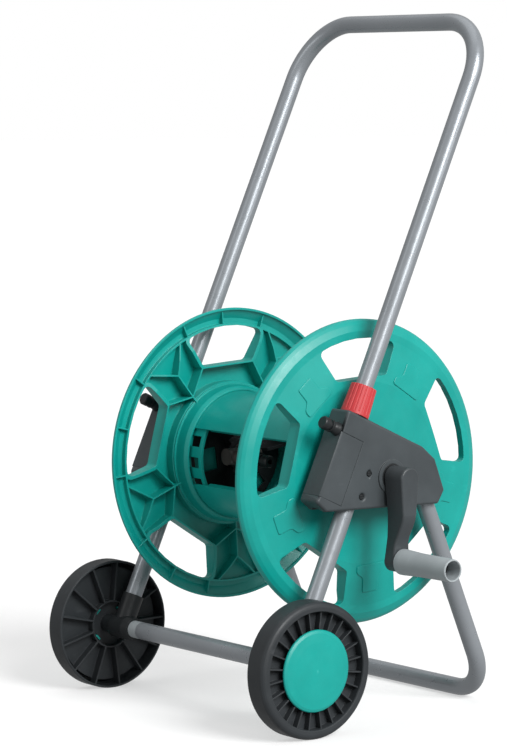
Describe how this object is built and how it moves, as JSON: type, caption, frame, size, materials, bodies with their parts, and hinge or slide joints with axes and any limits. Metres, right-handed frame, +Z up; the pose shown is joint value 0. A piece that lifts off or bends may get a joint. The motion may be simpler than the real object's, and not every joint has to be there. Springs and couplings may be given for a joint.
{
  "type": "garden hose reel cart",
  "caption": "Two-wheeled garden hose reel cart: bent tube frame with a sliding push handle, a windowed plastic reel between side brackets and a side crank.",
  "frame": {"origin": "on the ground, under the middle of the whole cart's bounding box", "axes": "+X across the cart towards the crank, +Y from the wheels towards the rear stand, +Z up"},
  "size_m": [0.537, 0.4165, 0.8733],
  "materials": {
    "tube_steel": "grey powder coat, semi gloss",
    "bracket_plastic": "fine moulded grain",
    "black_plastic": "satin",
    "wheel_plastic": "satin",
    "crank_plastic": "satin gloss",
    "teal_plastic": "satin gloss",
    "red_plastic": "satin",
    "grey_plastic": "satin",
    "elbow_plastic": "satin",
    "rubber": "matte",
    "steel": "zinc plated"
  },
  "bodies": {
    "cart": {"front_leg_right": "tube_steel", "front_leg_left": "tube_steel", "rear_stand": "tube_steel", "cross_tube": "tube_steel", "tube_end_plugs": "grey_plastic", "axle_connector_right": "black_plastic", "axle_connector_left": "black_plastic", "axle_rod": "steel", "axle_washers": "steel", "axle_push_nuts": "steel", "bracket_right": "bracket_plastic", "bracket_left": "bracket_plastic", "bracket_cover_right": "bracket_plastic", "bracket_cover_left": "bracket_plastic", "bracket_screws": "steel", "hub_bush_right": "black_plastic", "hub_bush_left": "black_plastic", "collet_right": "black_plastic", "collet_left": "black_plastic", "nozzle_peg_right": "black_plastic", "nozzle_peg_left": "black_plastic", "inlet_connector": "black_plastic", "shaft_seals": "rubber"},
    "handle": {"handle_tube": "tube_steel", "handle_end_plugs": "black_plastic"},
    "nut_right": {"clamp_nut_right": "red_plastic"},
    "nut_left": {"clamp_nut_left": "red_plastic"},
    "wheel_right": {"wheel_right": "wheel_plastic", "hub_cap_right": "teal_plastic"},
    "wheel_left": {"wheel_left": "wheel_plastic", "hub_cap_left": "teal_plastic"},
    "reel": {"flange_right": "teal_plastic", "flange_left": "teal_plastic", "drum_panel_upper": "teal_plastic", "drum_panel_rear": "teal_plastic", "drum_panel_lower": "teal_plastic", "drive_shaft": "black_plastic", "water_shaft": "black_plastic", "hub_spider": "black_plastic", "outlet_elbow": "elbow_plastic", "outlet_nose": "black_plastic", "crank_arm": "crank_plastic", "grip_stud": "black_plastic"},
    "grip": {"crank_grip": "grey_plastic"}
  },
  "joints": [
    {"name": "handle_slide", "type": "slide", "parent": "cart", "child": "handle", "axis": [0, 0.4147, 0.91], "range_m": [-0.25, 0]},
    {"name": "nut_right_turn", "type": "hinge", "parent": "cart", "child": "nut_right", "pos_m": [0.1355, -0.01957, 0.39822], "axis": [0, 0.4147, 0.91], "range_deg": [0, 270]},
    {"name": "nut_left_turn", "type": "hinge", "parent": "cart", "child": "nut_left", "pos_m": [-0.2165, -0.01957, 0.39822], "axis": [0, 0.4147, 0.91], "range_deg": [0, 270]},
    {"name": "wheel_right_spin", "type": "hinge", "parent": "cart", "child": "wheel_right", "pos_m": [0.1705, -0.12475, 0.0835], "axis": [1, 0, 0], "continuous": true},
    {"name": "wheel_left_spin", "type": "hinge", "parent": "cart", "child": "wheel_left", "pos_m": [-0.2515, -0.12475, 0.0835], "axis": [1, 0, 0], "continuous": true},
    {"name": "reel_spin", "type": "hinge", "parent": "cart", "child": "reel", "pos_m": [0.1375, 0.01725, 0.3045], "axis": [1, 0, 0], "continuous": true},
    {"name": "grip_spin", "type": "hinge", "parent": "reel", "child": "grip", "pos_m": [0.2095, 0.01725, 0.2015], "axis": [1, 0, 0], "continuous": true}
  ]
}
